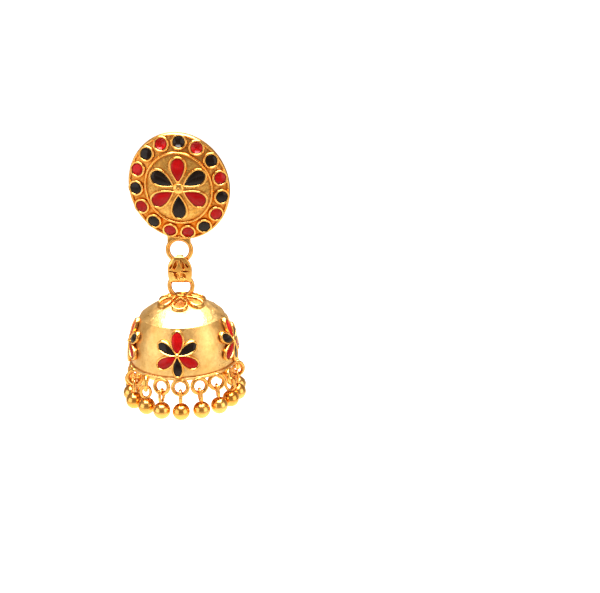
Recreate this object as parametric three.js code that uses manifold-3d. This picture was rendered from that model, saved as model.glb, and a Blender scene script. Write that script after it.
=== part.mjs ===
// A jhumka drop earring: a flower stud on an ear post, a hook link and a domed bell with ball drops.
// It hangs along -Z and faces -Y. The origin is on the post, where the middle of the ear lobe sits.

import * as THREE from 'three';
import { mergeVertices } from 'three/addons/utils/BufferGeometryUtils.js';
import Module from 'manifold-3d';

const wasm = await Module();
wasm.setup();

// Every length is in millimetres and every angle is in degrees.

// Ear post
const LOBE_TO_STUD = 2.5;        // from the middle of the lobe to the stud's flat back
const POST_ABOVE_CENTRE = 2.0;   // the post sits above the stud's centre so that the stud hangs upright
const POST_DIAMETER = 0.8;
const POST_LENGTH = 11.0;        // bare length behind the stud
const POST_SOCKET_DEPTH = 0.8;
const POST_TIP = 0.5;            // length of the rounded tip
const POST_SIDES = 12;

// Stud plate, an oval that leans a little
const STUD_WIDTH = 17.0;         // across the oval
const STUD_LENGTH = 18.7;        // along the oval
const STUD_LEAN = 21;            // the oval's upper end leans left
const STUD_ASIDE = 0.5;          // the oval's middle lies this far right of the post and the ring
const STUD_EDGE = 0.9;           // thickness at the edge
const BORDER_WIDTH = 2.7;        // sloping border that carries the round cells
const BORDER_RISE = 0.95;
const DOME_RISE = 0.45;          // the middle stands this much above the border's inner edge
const RIM_WIRE = 0.45;           // width of the wire along the edge
const RIM_WIRE_HEIGHT = 0.3;
const INNER_WIRE = 0.45;         // width of the wire inside the border
const INNER_WIRE_HEIGHT = 0.3;
const STUD_SIDES = 30;           // two for each round cell
const DOME_STEP = 0.6;           // where the dome's middle facet ring lies, as a share of its radius

// Cells and the enamel in them
const CELL_DIAMETER = 2.75;
const CELL_SIDES = 8;
const CELL_TURN = 4;             // the row of cells is turned clockwise by this much
const CELL_WALL = 0.36;
const CELL_HEIGHT = 0.48;        // walls above the metal around them
const ROOT_DEPTH = 0.35;         // soldered walls reach this far into the metal below
const POCKET_SINK = 0.05;        // pocket floors lie this far below the metal around them
const ENAMEL_GAP = 0.05;
const ENAMEL_BELOW_WALL = 0.12;  // the enamel's edge stops short of the wall's top
const ENAMEL_CROWN = 0.12;       // and its middle rises above its edge

// Six-petal flower on the stud
const STUD_PETAL_START = 1.2;
const STUD_PETAL_END = 5.1;
const STUD_PETAL_WIDTH = 2.2;
const STUD_PETAL_OVERRUN = 0.4;  // the gold outline runs this much further towards the middle
const STUD_BOSS_DIAMETER = 1.9;
const STUD_BOSS_HEIGHT = 0.6;
const BOSS_SHOULDER = 0.6;       // the boss narrows above this share of its height, to this share
const PETAL_POINTS = 10;

// Rings that face forward: one under the stud, one on the bell
const RING_HOLE = 3.26;
const RING_WIRE = 0.8;
const RING_SIDES = 16;
const RING_WIRE_SIDES = 6;
const STUD_RING_DROP = 2.2;      // from the stud's lower edge to the ring's centre
const TAB_WIDTH = 4.0;           // cast tab that joins the stud and its ring
const TAB_THICKNESS = 0.7;

// Hook link
const LINK_INSIDE = 3.8;         // inside height of the closed hook
const LINK_STRAP = 0.5;          // thickness of the bent strap
const LINK_STRAP_WIDTH = 1.1;
const RING_SIDE_ROOM = 0.26;     // play between the rings' wire and the hook's front and back
const RING_SEAT_PLAY = 0.05;     // play where the wires hang in the hook
const LINK_FACE_WIDTH = 4.3;
const LINK_FACE_BULGE = 0.4;     // the face's middle stands in front of its edge
const LINK_PIT_DEPTH = 0.3;
const LINK_EDGE = 0.3;           // thickness of the face at its edge

// Bell
const RIDGE_DIAMETER = 14.9;     // crease between the crown and the band
const CROWN_DROP = 3.0;          // from the crown's top down to the crease
const BAND_HEIGHT = 8.95;        // from the crease down to the rim
const BAND_DIAMETER = 18.9;      // outside, at the rim
const BAND_SWELL = 2.4;          // how soon the band turns upright: 1 is a cone
const BELL_WALL = 0.55;
const BELL_SIDES = 36;           // two for each rim ring
const RIM_ROLL = 0.6;            // height of the rolled rim
const RIM_ROLL_OUT = 0.22;
const RING_ROOT = 0.25;          // the bell's ring is soldered this deep into the crown

// Flower on the crown
const CAP_PETALS = 6;
const CAP_PETAL_START = 0.9;
const CAP_PETAL_END = 4.6;
const CAP_PETAL_WIDTH = 2.9;
const CAP_PETAL_WALL = 0.45;
const CAP_PETAL_HEIGHT = 0.6;
const CAP_FLOOR_HEIGHT = 0.2;

// Flowers on the band
const FLOWER_AZIMUTHS = [-76, 0, 76, 144, 216];
const FLOWER_NAMES = ['left', 'front', 'right', 'back_right', 'back_left'];
const FLOWER_BELOW_RIDGE = 4.2;
const FLOWER_REACH = 3.85;       // from the flower's middle to the far end of its longest enamel
const FLOWER_GAP = 0.08;         // clearance to the band that carries it
const FLOWER_THICKNESS = 0.65;
const FLOWER_WALL = 0.27;
const FLOWER_ENAMEL_SINK = 0.14;
const FLOWER_BOSS_DIAMETER = 1.75;
const FLOWER_BOSS_PROUD = 0.25;
const FLOWER_POINTS = 10;

// Rings under the rim and the balls on them
const DROP_COUNT = 18;
const DROP_START_AZIMUTH = 2;
const RIM_RING_OUTSIDE = 3.3;
const RIM_RING_WIRE = 0.72;
const RIM_RING_DEPTH = 0.8;      // across the wire, along the bell's radius
const RIM_RING_LEAN = 7;         // the rings lean outward
const RIM_RING_SINK = 0.45;      // how much of each ring is soldered up into the rim
const RIM_RING_SIDES = 10;
const DROP_WIRE_SIDES = 5;
const BALL_DIAMETER = 3.05;
const BALL_SIDES = 10;
const BALL_STACKS = 5;
const EYE_WIRE = 0.55;
const EYE_SIDE_ROOM = 0.15;      // play between the eye and the ring's front and back
const EYE_INSIDE_LENGTH = 1.8;
const EYE_SEAT_ROOM = 0.08;      // play between the eye and the ring that it hangs in
const EYE_ROOT = 0.15;           // the eye is soldered this deep into the ball
const DROP_SWAY = 5;             // the balls hang up to this far off plumb

// Enamel colours of the stud's round cells, clockwise from the top
const CELL_COLOURS = [
  'black', 'red', 'black', 'red', 'black', 'red', 'black', 'red',
  'red', 'black', 'red', 'black', 'red', 'black', 'red',
];

// Rim rings that are soldered turned: the ring, counted like the drops, and its turn from facing outward
const RIM_RING_TURNS = [
  { index: 2, turn: -25 },
  { index: 3, turn: 25 },
  { index: 4, turn: -70 },
  { index: 15, turn: 55 },
  { index: 16, turn: -45 },
];

// The stud flower's petals, counter-clockwise from the right
const STUD_PETALS = [
  { angle: 30, colour: 'black' },
  { angle: 90, colour: 'red' },
  { angle: 150, colour: 'black' },
  { angle: 210, colour: 'red' },
  { angle: 270, colour: 'black' },
  { angle: 330, colour: 'red' },
];

// One band flower's petals: the enamel's direction, then its near end, far end and width
// as shares of the flower's reach
const BAND_PETALS = [
  { angle: 90, start: 0.2, end: 0.93, width: 0.55 },
  { angle: 29, start: 0.2, end: 0.97, width: 0.42 },
  { angle: 151, start: 0.2, end: 0.97, width: 0.42 },
  { angle: -33, start: 0.2, end: 1.0, width: 0.5 },
  { angle: 215, start: 0.2, end: 1.0, width: 0.5 },
  { angle: 271, start: 0.2, end: 0.98, width: 0.44 },
];

// Outline of the hook link's face: half width as a share of the full one, and height as a share
const FACE_OUTLINE = [
  { half: 0.14, up: 1.0 },
  { half: 0.33, up: 0.9 },
  { half: 0.43, up: 0.76 },
  { half: 0.495, up: 0.56 },
  { half: 0.5, up: 0.4 },
  { half: 0.48, up: 0.14 },
  { half: 0.44, up: 0.0 },
];

// Wedge-shaped pits in the link's face: the point and the wide end, as shares of width and height
const FACE_PITS = [
  { from: [-0.03, 0.4], to: [-0.2, 0.17], wide: 0.15 },
  { from: [0.03, 0.4], to: [0.2, 0.17], wide: 0.15 },
  { from: [-0.03, 0.46], to: [-0.2, 0.68], wide: 0.12 },
  { from: [0.03, 0.46], to: [0.2, 0.68], wide: 0.12 },
  { from: [-0.05, 0.94], to: [-0.08, 0.7], wide: 0.06 },
  { from: [0.05, 0.94], to: [0.08, 0.7], wide: 0.06 },
];

// Places that follow from the sizes
const STUD_RADIUS = STUD_WIDTH / 2;
const STUD_OVAL = STUD_LENGTH / STUD_WIDTH;
const LEAN_TURN = THREE.MathUtils.degToRad(STUD_LEAN);
const STUD_REACH_DOWN = STUD_RADIUS / Math.hypot(Math.cos(LEAN_TURN) / STUD_OVAL, Math.sin(LEAN_TURN));
const STUD_CENTRE_Z = -POST_ABOVE_CENTRE;
const STUD_BACK_Y = -LOBE_TO_STUD;
const HANG_Y = STUD_BACK_Y - TAB_THICKNESS / 2;
const BORDER_INNER = STUD_RADIUS - BORDER_WIDTH;
const CELL_RING_RADIUS = STUD_RADIUS - BORDER_WIDTH / 2;
const BORDER_TILT = Math.atan2(BORDER_RISE, BORDER_WIDTH);
const RING_WIRE_RADIUS = (RING_HOLE + RING_WIRE) / 2;
const HOLE_FLAT_RADIUS = (RING_HOLE / 2) * Math.cos(Math.PI / RING_SIDES);
const SEAT_REACH = Math.sqrt(HOLE_FLAT_RADIUS ** 2 - (LINK_STRAP_WIDTH / 2) ** 2);
const RING_SEAT_ROOM = RING_HOLE / 2 - SEAT_REACH + RING_SEAT_PLAY;
const STUD_RING_Z = STUD_CENTRE_Z - STUD_REACH_DOWN - STUD_RING_DROP;
const UPPER_WIRE_Z = STUD_RING_Z - RING_WIRE_RADIUS;
const LINK_TOP_Z = UPPER_WIRE_Z + RING_WIRE / 2 + RING_SEAT_ROOM;
const LINK_BOTTOM_Z = LINK_TOP_Z - LINK_INSIDE;
const LOWER_WIRE_Z = LINK_BOTTOM_Z + RING_WIRE / 2 + RING_SEAT_ROOM;
const BELL_RING_Z = LOWER_WIRE_Z - RING_WIRE_RADIUS;
const CROWN_Z = BELL_RING_Z - RING_WIRE_RADIUS - RING_WIRE / 2 + RING_ROOT;
const RIDGE_Z = CROWN_Z - CROWN_DROP;
const RIM_Z = RIDGE_Z - BAND_HEIGHT;
const RIDGE_RADIUS = RIDGE_DIAMETER / 2;
const BAND_RADIUS = BAND_DIAMETER / 2;
const EYE_INSIDE_WIDTH = RIM_RING_DEPTH + 2 * EYE_SIDE_ROOM;

// Materials
const FINISHES = {
  gold: { color: 0xd8a03a, roughness: 0.26, metalness: 1.0 },
  satin: { color: 0xdda94a, roughness: 0.36, metalness: 1.0 },
  red: { color: 0xb5121c, roughness: 0.14, metalness: 0.0 },
  black: { color: 0x17100f, roughness: 0.12, metalness: 0.0 },
};

function radians(angle) {
  return THREE.MathUtils.degToRad(angle);
}

function meshOf(name, solid, finish) {
  const result = solid.getMesh();
  const geometry = new THREE.BufferGeometry();
  geometry.setAttribute('position', new THREE.Float32BufferAttribute(result.vertProperties, 3));
  geometry.setIndex(new THREE.Uint32BufferAttribute(result.triVerts, 1));
  geometry.computeVertexNormals();
  const mesh = new THREE.Mesh(geometry, new THREE.MeshStandardMaterial(FINISHES[finish]));
  mesh.name = name;
  return mesh;
}

// A closed three.js geometry as a solid that can be joined and cut
function solidOf(geometry, matrix = new THREE.Matrix4()) {
  const bare = geometry.clone();
  bare.deleteAttribute('normal');
  bare.deleteAttribute('uv');
  const welded = mergeVertices(bare, 1e-4);
  welded.applyMatrix4(matrix);
  const triVerts = new Uint32Array(welded.index.array);
  const vertProperties = new Float32Array(welded.attributes.position.array);
  return new wasm.Manifold(new wasm.Mesh({ numProp: 3, vertProperties, triVerts }));
}

function joined(solids) {
  return solids.reduce((whole, solid) => whole.add(solid));
}

function cutBy(solid, tools) {
  return tools.reduce((whole, tool) => whole.subtract(tool), solid);
}

// A closed solid through rings of equally many points, each end closed round its own middle
function stack(rings) {
  const count = rings[0].length;
  const points = rings.flat();
  const middle = (ring) => ring.reduce((sum, p) => sum.add(p), new THREE.Vector3()).divideScalar(count);
  const first = points.push(middle(rings[0])) - 1;
  const last = points.push(middle(rings[rings.length - 1])) - 1;
  const top = (rings.length - 1) * count;
  const faces = [];
  for (let i = 0; i < count; i += 1) {
    const next = (i + 1) % count;
    faces.push(first, next, i);
    faces.push(last, top + i, top + next);
    for (let level = 0; level < top; level += count) {
      faces.push(level + i, level + next, level + count + next);
      faces.push(level + i, level + count + next, level + count + i);
    }
  }
  const geometry = new THREE.BufferGeometry().setFromPoints(points);
  geometry.setIndex(faces);
  return geometry;
}

// A teardrop with its point at start and its round end at end, both along the angle
function teardrop(start, end, width, angle, count) {
  const widest = 4 / (3 * Math.sqrt(3));
  const along = new THREE.Vector2(Math.cos(radians(angle)), Math.sin(radians(angle)));
  const across = new THREE.Vector2(-along.y, along.x);
  return Array.from({ length: count }, (unused, i) => {
    const turn = (-2 * Math.PI * i) / count;
    const reach = start + ((end - start) * (1 - Math.cos(turn))) / 2;
    const side = ((width / 2) * Math.sin(turn) * Math.abs(Math.sin(turn / 2))) / widest;
    return along.clone().multiplyScalar(reach).addScaledVector(across, side);
  });
}

function circle(diameter, count) {
  return Array.from({ length: count }, (unused, i) => {
    const turn = (2 * Math.PI * i) / count;
    return new THREE.Vector2(Math.cos(turn), Math.sin(turn)).multiplyScalar(diameter / 2);
  });
}

// The outline lifted to a height, and laid over a surface where one is given
function ringAt(outline, height, surface = () => 0) {
  return outline.map((p) => new THREE.Vector3(p.x, p.y, surface(p) + height));
}

function turned(geometry, around, angle) {
  return around === 'x' ? geometry.rotateX(radians(angle)) : geometry.rotateZ(radians(angle));
}

// The stud is modelled flat: x to the right, y up, z towards the viewer, its back at z = 0.

function studSurface(point) {
  const across = point.x * Math.cos(LEAN_TURN) + point.y * Math.sin(LEAN_TURN);
  const along = point.y * Math.cos(LEAN_TURN) - point.x * Math.sin(LEAN_TURN);
  const radius = Math.hypot(across, along / STUD_OVAL);
  if (radius > BORDER_INNER) {
    return STUD_EDGE + (BORDER_RISE * (STUD_RADIUS - radius)) / BORDER_WIDTH;
  }
  return STUD_EDGE + BORDER_RISE + DOME_RISE * (1 - (radius / BORDER_INNER) ** 2);
}

function onOval(radius, angle) {
  const point = new THREE.Vector2(radius * Math.cos(angle), radius * Math.sin(angle) * STUD_OVAL);
  return point.rotateAround(new THREE.Vector2(), LEAN_TURN);
}

function studBody() {
  const at = (radius, lift = 0) => new THREE.Vector2(radius, studSurface(onOval(radius, 0)) + lift);
  const wireInside = BORDER_INNER - INNER_WIRE;
  const profile = [
    new THREE.Vector2(0, 0),
    new THREE.Vector2(STUD_RADIUS, 0),
    at(STUD_RADIUS),
    at(STUD_RADIUS - RIM_WIRE / 2, RIM_WIRE_HEIGHT),
    at(STUD_RADIUS - RIM_WIRE),
    at(BORDER_INNER),
    at(BORDER_INNER - INNER_WIRE / 2, INNER_WIRE_HEIGHT),
    at(wireInside),
    at(wireInside * DOME_STEP),
    new THREE.Vector2(0, studSurface({ x: 0, y: 0 })),
  ];
  const lathe = new THREE.LatheGeometry(profile, STUD_SIDES);
  return turned(turned(lathe, 'x', 90).scale(1, STUD_OVAL, 1), 'z', STUD_LEAN);
}

function cellPlace(index) {
  const angle = radians(90 - CELL_TURN - (360 * index) / CELL_COLOURS.length);
  const place = onOval(CELL_RING_RADIUS, angle - LEAN_TURN);
  const tilt = new THREE.Quaternion().setFromAxisAngle(
    new THREE.Vector3(-Math.sin(angle), Math.cos(angle), 0),
    BORDER_TILT,
  );
  return new THREE.Matrix4().compose(
    new THREE.Vector3(place.x, place.y, studSurface(place)),
    tilt,
    new THREE.Vector3(1, 1, 1),
  );
}

const POCKET_TOP = CELL_HEIGHT * 2;
const ENAMEL_EDGE = CELL_HEIGHT - ENAMEL_BELOW_WALL;

// Walls, pocket and enamel share one outline, given as a function of how far it is set in
function wallSolid(outline, surface) {
  return stack([ringAt(outline(0), -ROOT_DEPTH, surface), ringAt(outline(0), CELL_HEIGHT, surface)]);
}

function pocketSolid(outline, surface) {
  return stack([
    ringAt(outline(CELL_WALL), -POCKET_SINK, surface),
    ringAt(outline(CELL_WALL), POCKET_TOP, surface),
  ]);
}

function enamelSolid(outline, surface) {
  const edge = outline(CELL_WALL + ENAMEL_GAP);
  const crown = outline(CELL_WALL * 2 + ENAMEL_GAP);
  return stack([
    ringAt(edge, ENAMEL_GAP - POCKET_SINK, surface),
    ringAt(edge, ENAMEL_EDGE, surface),
    ringAt(crown, ENAMEL_EDGE + ENAMEL_CROWN, surface),
  ]);
}

function cellOutline(inset) {
  return circle(CELL_DIAMETER - 2 * inset, CELL_SIDES);
}

function studPetalOutline(angle) {
  return (inset) => {
    const grow = CELL_WALL + ENAMEL_GAP - inset;
    const inward = inset > 0 ? grow : STUD_PETAL_OVERRUN;
    return teardrop(
      STUD_PETAL_START - inward,
      STUD_PETAL_END + grow,
      STUD_PETAL_WIDTH + 2 * grow,
      angle,
      PETAL_POINTS,
    );
  };
}

function studBoss() {
  const top = studSurface({ x: 0, y: 0 });
  return stack([
    ringAt(circle(STUD_BOSS_DIAMETER, CELL_SIDES), top - ROOT_DEPTH),
    ringAt(circle(STUD_BOSS_DIAMETER, CELL_SIDES), top + STUD_BOSS_HEIGHT * BOSS_SHOULDER),
    ringAt(circle(STUD_BOSS_DIAMETER * BOSS_SHOULDER, CELL_SIDES), top + STUD_BOSS_HEIGHT),
  ]);
}

// A ring in the stud's plane, with its hole facing the viewer
function facingRing() {
  return new THREE.TorusGeometry(RING_WIRE_RADIUS, RING_WIRE / 2, RING_WIRE_SIDES, RING_SIDES);
}

function studPlate() {
  const ringY = -STUD_REACH_DOWN - STUD_RING_DROP;
  const walls = CELL_COLOURS.map((colour, i) => solidOf(wallSolid(cellOutline), cellPlace(i)));
  const pockets = CELL_COLOURS.map((colour, i) => solidOf(pocketSolid(cellOutline), cellPlace(i)));
  for (const petal of STUD_PETALS) {
    walls.push(solidOf(wallSolid(studPetalOutline(petal.angle), studSurface)));
    pockets.push(solidOf(pocketSolid(studPetalOutline(petal.angle), studSurface)));
  }
  const tabHeight = STUD_RING_DROP + RIM_WIRE * 2;
  const tab = new THREE.BoxGeometry(TAB_WIDTH, tabHeight, TAB_THICKNESS);
  tab.translate(-STUD_ASIDE, ringY + tabHeight / 2, TAB_THICKNESS / 2);
  const hole = new THREE.CylinderGeometry(RING_HOLE / 2, RING_HOLE / 2, 3 * RING_WIRE, RING_SIDES);
  turned(hole, 'x', 90).translate(-STUD_ASIDE, ringY, TAB_THICKNESS / 2);
  const ring = facingRing().translate(-STUD_ASIDE, ringY, TAB_THICKNESS / 2);
  const socketWidth = POST_DIAMETER / 2 + ENAMEL_GAP;
  const socketReach = 2 * POST_SOCKET_DEPTH;
  const socket = new THREE.CylinderGeometry(socketWidth, socketWidth, socketReach, POST_SIDES);
  turned(socket, 'x', 90).translate(-STUD_ASIDE, POST_ABOVE_CENTRE, 0);
  const plate = cutBy(joined([solidOf(studBody()), ...walls]), pockets);
  const hanger = solidOf(tab).subtract(solidOf(hole)).add(solidOf(ring));
  const whole = joined([plate, solidOf(studBoss()), hanger]).subtract(solidOf(socket));
  return meshOf('stud_plate', whole, 'gold');
}

function studGroup() {
  const group = new THREE.Group();
  group.rotation.x = Math.PI / 2;
  group.position.set(STUD_ASIDE, STUD_BACK_Y, STUD_CENTRE_Z);
  group.add(studPlate());
  CELL_COLOURS.forEach((colour, i) => {
    const name = `stud_dot_${String(i + 1).padStart(2, '0')}`;
    const dot = meshOf(name, solidOf(enamelSolid(cellOutline)), colour);
    dot.applyMatrix4(cellPlace(i));
    group.add(dot);
  });
  STUD_PETALS.forEach((petal, i) => {
    const enamel = solidOf(enamelSolid(studPetalOutline(petal.angle), studSurface));
    group.add(meshOf(`stud_petal_${i + 1}`, enamel, petal.colour));
  });
  return group;
}

// A straight pin along +Y with a rounded tip, set in the stud's blind socket
function earPost() {
  const foot = STUD_BACK_Y - POST_SOCKET_DEPTH + ENAMEL_GAP;
  const tip = STUD_BACK_Y + POST_LENGTH;
  const radius = POST_DIAMETER / 2;
  const profile = [
    new THREE.Vector2(0, foot),
    new THREE.Vector2(radius, foot),
    new THREE.Vector2(radius, tip - POST_TIP),
    new THREE.Vector2(radius * 0.6, tip - POST_TIP * 0.3),
    new THREE.Vector2(0, tip),
  ];
  return meshOf('ear_post', solidOf(new THREE.LatheGeometry(profile, POST_SIDES)), 'gold');
}

// The hook is a closed strap round both rings' wires, with a wide cast face in front.
function hookLink() {
  const halfInside = RING_WIRE / 2 + RING_SIDE_ROOM;
  const halfOutside = halfInside + LINK_STRAP;
  const faceTop = LINK_TOP_Z + LINK_STRAP;
  const faceHeight = LINK_INSIDE + 2 * LINK_STRAP;
  const slot = roundedSlot(halfInside, LINK_INSIDE);
  const strapShape = roundedSlot(halfOutside, faceHeight);
  strapShape.holes.push(slot);
  const strap = new THREE.ExtrudeGeometry(strapShape, {
    depth: LINK_STRAP_WIDTH,
    bevelEnabled: false,
    curveSegments: 5,
  });
  strap.translate(0, 0, -LINK_STRAP_WIDTH / 2);
  const across = new THREE.Matrix4().makeBasis(
    new THREE.Vector3(0, 1, 0),
    new THREE.Vector3(0, 0, 1),
    new THREE.Vector3(1, 0, 0),
  );
  across.setPosition(0, HANG_Y, (LINK_TOP_Z + LINK_BOTTOM_Z) / 2);
  const toFace = new THREE.Matrix4().makeRotationX(Math.PI / 2);
  toFace.setPosition(0, HANG_Y - halfInside, faceTop - faceHeight);
  const face = solidOf(linkFace(faceHeight), toFace);
  const pits = FACE_PITS.map((pit) => solidOf(linkPit(pit, faceHeight), toFace));
  const whole = cutBy(solidOf(strap, across).add(face), pits);
  return meshOf('hook_link', whole, 'gold');
}

// A slot with round ends, centred on the origin
function roundedSlot(half, height) {
  const straight = height / 2 - half;
  const shape = new THREE.Shape();
  shape.moveTo(half, -straight);
  shape.lineTo(half, straight);
  shape.absarc(0, straight, half, 0, Math.PI, false);
  shape.lineTo(-half, -straight);
  shape.absarc(0, -straight, half, Math.PI, 2 * Math.PI, false);
  return shape;
}

function linkFace(height) {
  const side = FACE_OUTLINE.map((p) => new THREE.Vector2(p.half * LINK_FACE_WIDTH, p.up * height));
  const mirrored = side.map((p) => new THREE.Vector2(-p.x, p.y));
  const outline = [...mirrored, ...side.reverse()];
  const middle = new THREE.Vector2(0, height * 0.45);
  const inner = outline.map((p) => p.clone().lerp(middle, 0.3));
  return stack([
    ringAt(outline, 0),
    ringAt(outline, LINK_EDGE),
    ringAt(inner, LINK_EDGE + LINK_FACE_BULGE),
  ]);
}

function linkPit(pit, height) {
  const scaled = ([x, y]) => new THREE.Vector2(x * LINK_FACE_WIDTH, y * height);
  const point = scaled(pit.from);
  const end = scaled(pit.to);
  const side = end.clone().sub(point).normalize().rotateAround(new THREE.Vector2(), Math.PI / 2);
  const half = (pit.wide * LINK_FACE_WIDTH) / 2;
  const outline = [
    point,
    end.clone().addScaledVector(side, -half),
    end.clone().addScaledVector(side, half),
  ];
  const top = LINK_EDGE + LINK_FACE_BULGE;
  return stack([ringAt(outline, top - LINK_PIT_DEPTH), ringAt(outline, top + LINK_PIT_DEPTH)]);
}

// The bell's outer surface: a shallow crown above the crease and a convex band below it

function crownSurface(point) {
  return CROWN_Z - CROWN_DROP * (Math.hypot(point.x, point.y) / RIDGE_RADIUS) ** 2;
}

function bandRadius(z) {
  const down = THREE.MathUtils.clamp((RIDGE_Z - z) / BAND_HEIGHT, 0, 1);
  return RIDGE_RADIUS + (BAND_RADIUS - RIDGE_RADIUS) * (1 - (1 - down) ** BAND_SWELL);
}

function shellRadius(z) {
  if (z > RIDGE_Z) {
    return RIDGE_RADIUS * Math.sqrt((CROWN_Z - z) / CROWN_DROP);
  }
  return bandRadius(z);
}

const CROWN_STEPS = [0.45, 0.76];
const BAND_STEPS = [0.13, 0.3, 0.52];
const INSIDE_CROWN_STEPS = [0.62];
const INSIDE_BAND_STEPS = [0.35];

function bellShell() {
  const crown = (share, sink) => new THREE.Vector2(
    (RIDGE_RADIUS - sink) * share,
    CROWN_Z - CROWN_DROP * share ** 2 - sink,
  );
  const band = (share, wall) => {
    const z = RIDGE_Z - BAND_HEIGHT * share;
    return new THREE.Vector2(bandRadius(z) - wall, z - wall * (1 - share));
  };
  const profile = [
    new THREE.Vector2(0, CROWN_Z - BELL_WALL),
    ...INSIDE_CROWN_STEPS.map((share) => crown(share, BELL_WALL)),
    band(0, BELL_WALL),
    ...INSIDE_BAND_STEPS.map((share) => band(share, BELL_WALL)),
    new THREE.Vector2(BAND_RADIUS - BELL_WALL, RIM_Z),
    new THREE.Vector2(BAND_RADIUS, RIM_Z),
    new THREE.Vector2(BAND_RADIUS + RIM_ROLL_OUT, RIM_Z + RIM_ROLL / 2),
    new THREE.Vector2(bandRadius(RIM_Z + RIM_ROLL), RIM_Z + RIM_ROLL),
    ...BAND_STEPS.toReversed().map((share) => band(share, 0)),
    band(0, 0),
    ...CROWN_STEPS.toReversed().map((share) => crown(share, 0)),
    new THREE.Vector2(0, CROWN_Z),
  ];
  const lathe = turned(new THREE.LatheGeometry(profile, BELL_SIDES), 'x', 90);
  return turned(lathe, 'z', DROP_START_AZIMUTH);
}

function capPetal(index) {
  const angle = (360 * index) / CAP_PETALS - 90;
  const outline = (inset) => teardrop(
    CAP_PETAL_START + inset,
    CAP_PETAL_END - inset,
    CAP_PETAL_WIDTH - 2 * inset,
    angle,
    PETAL_POINTS,
  );
  return stack([
    ringAt(outline(0), -ROOT_DEPTH, crownSurface),
    ringAt(outline(0), CAP_PETAL_HEIGHT, crownSurface),
    ringAt(outline(CAP_PETAL_WALL), CAP_PETAL_HEIGHT, crownSurface),
    ringAt(outline(CAP_PETAL_WALL), CAP_FLOOR_HEIGHT, crownSurface),
  ]);
}

function dropAzimuth(index) {
  return 180 + DROP_START_AZIMUTH + (360 * index) / DROP_COUNT;
}

// How far rim ring number index is turned about its own upright line
function dropTurn(index) {
  return RIM_RING_TURNS.find((ring) => ring.index === index)?.turn ?? 0;
}

// The frame of rim ring or drop number index, at the rim's edge: z up, y outward if the ring isn't turned
function dropPlace(index) {
  const turn = new THREE.Matrix4().makeRotationZ(radians(dropTurn(index)));
  const lean = new THREE.Matrix4().makeRotationX(radians(RIM_RING_LEAN));
  const place = new THREE.Matrix4().makeRotationZ(radians(dropAzimuth(index)));
  place.multiply(new THREE.Matrix4().makeTranslation(0, BAND_RADIUS, RIM_Z));
  return place.multiply(lean).multiply(turn);
}

const RIM_RING_RADIUS = (RIM_RING_OUTSIDE - RIM_RING_WIRE) / 2;
const RIM_RING_DOWN = RIM_RING_OUTSIDE / 2 - RIM_RING_SINK;

function rimRing(index) {
  const ring = new THREE.TorusGeometry(
    RIM_RING_RADIUS,
    RIM_RING_WIRE / 2,
    DROP_WIRE_SIDES,
    RIM_RING_SIDES,
  );
  ring.scale(1, 1, RIM_RING_DEPTH / RIM_RING_WIRE);
  turned(ring, 'z', 180 / RIM_RING_SIDES);
  turned(ring, 'x', 90).translate(0, 0, -RIM_RING_DOWN);
  return solidOf(ring, dropPlace(index));
}

function bell() {
  const ring = turned(facingRing(), 'x', 90).translate(0, 0, BELL_RING_Z);
  const petals = Array.from({ length: CAP_PETALS }, (unused, i) => solidOf(capPetal(i)));
  const rings = Array.from({ length: DROP_COUNT }, (unused, i) => rimRing(i));
  const whole = joined([solidOf(bellShell()), ...petals, ...rings, solidOf(ring)]);
  return meshOf('bell', whole, 'satin');
}

// Each band flower is cast with its enamel in it, and is bent to lie along the band.
function bandFlower(name, azimuth) {
  const centreZ = RIDGE_Z - FLOWER_BELOW_RIDGE;
  const centreRadius = shellRadius(centreZ);
  const lay = (outline, height) => outline.map((p) => {
    const z = centreZ + p.y;
    const radius = shellRadius(z) + FLOWER_GAP + height;
    const turn = radians(azimuth - 90) + p.x / centreRadius;
    return new THREE.Vector3(radius * Math.cos(turn), radius * Math.sin(turn), z);
  });
  const petals = BAND_PETALS.map((petal) => {
    const outline = (grow) => teardrop(
      petal.start * FLOWER_REACH,
      petal.end * FLOWER_REACH + grow,
      petal.width * FLOWER_REACH + 2 * grow,
      petal.angle,
      FLOWER_POINTS,
    );
    return solidOf(stack([
      lay(outline(FLOWER_WALL), 0),
      lay(outline(FLOWER_WALL), FLOWER_THICKNESS),
      lay(outline(0), FLOWER_THICKNESS - FLOWER_ENAMEL_SINK),
    ]));
  });
  const boss = stack([
    lay(circle(FLOWER_BOSS_DIAMETER, FLOWER_POINTS), 0),
    lay(circle(FLOWER_BOSS_DIAMETER, FLOWER_POINTS), FLOWER_THICKNESS),
    lay(circle(FLOWER_BOSS_DIAMETER / 2, FLOWER_POINTS), FLOWER_THICKNESS + FLOWER_BOSS_PROUD),
  ]);
  return meshOf(name, joined([...petals, solidOf(boss)]), 'gold');
}

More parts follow.
